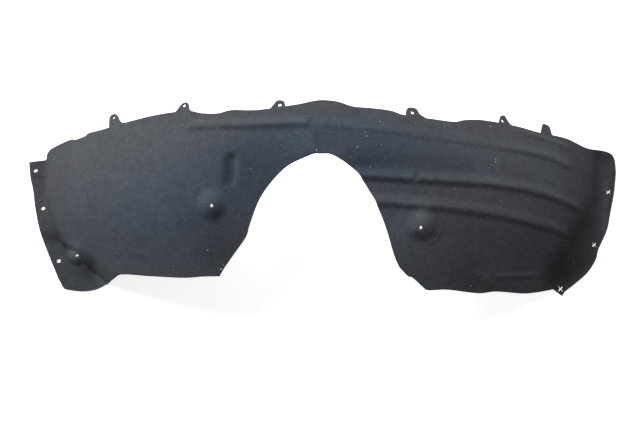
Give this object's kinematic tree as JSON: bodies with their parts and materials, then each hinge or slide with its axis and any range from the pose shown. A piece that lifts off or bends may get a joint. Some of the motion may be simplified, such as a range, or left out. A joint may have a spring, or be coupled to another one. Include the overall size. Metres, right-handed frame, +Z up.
{
  "type": "wheel arch liner",
  "caption": "Pressed felt lining for a car's wheel arch: an arched sheet with end flanges, edge tabs, stiffening ribs, hollow bosses and a cut-out for the strut.",
  "frame": {"origin": "on the floor that the end flanges stand on, under the middle of the part's box", "axes": "+X along the car, from the clip flange to the slit flange; +Y outboard, to the edge with the tabs; +Z up, out of the face that lies against the car body"},
  "size_m": [0.98, 0.2972, 0.2194],
  "materials": {
    "felt": "dark blue-grey needle felt, pressed, matt"
  },
  "bodies": {
    "root": {"liner": "felt"}
  },
  "joints": []
}
